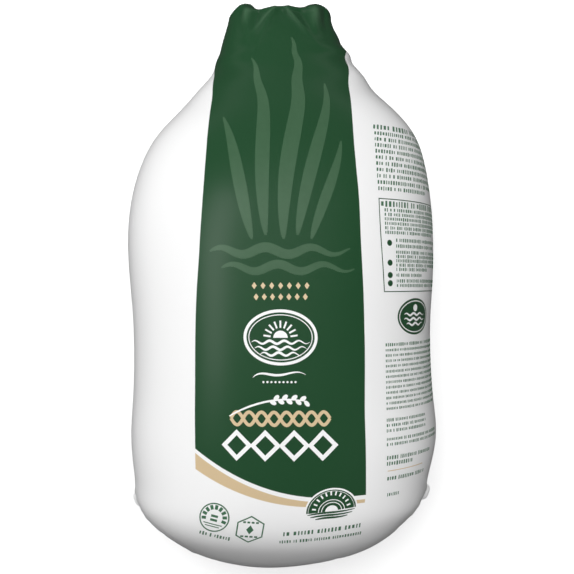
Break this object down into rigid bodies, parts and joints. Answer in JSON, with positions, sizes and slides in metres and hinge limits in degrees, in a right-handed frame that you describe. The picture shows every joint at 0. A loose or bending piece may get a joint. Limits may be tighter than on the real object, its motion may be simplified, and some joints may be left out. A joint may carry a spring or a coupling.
{
  "type": "packed whole duck",
  "caption": "Whole duck shut in a white printed shrink bag with a dark green front panel, gathered at one end and sealed at the other",
  "frame": {"origin": "on the table, under the middle of the pack's box", "axes": "+Y towards the gathered end, +Z out of the printed side, +X to the right of a reader who looks at the print with the gathered end up"},
  "size_m": [0.1776, 0.3236, 0.1125],
  "materials": {
    "white_film": "opaque white shrink film drawn tight over the bird, smooth and half glossy",
    "green_print": "dark green ink under the film's gloss, on the front panel and the small print",
    "tan_print": "tan ink under the film's gloss, on the band and the fine lines"
  },
  "bodies": {
    "root": {"duck_pack": "white_film"}
  },
  "joints": []
}
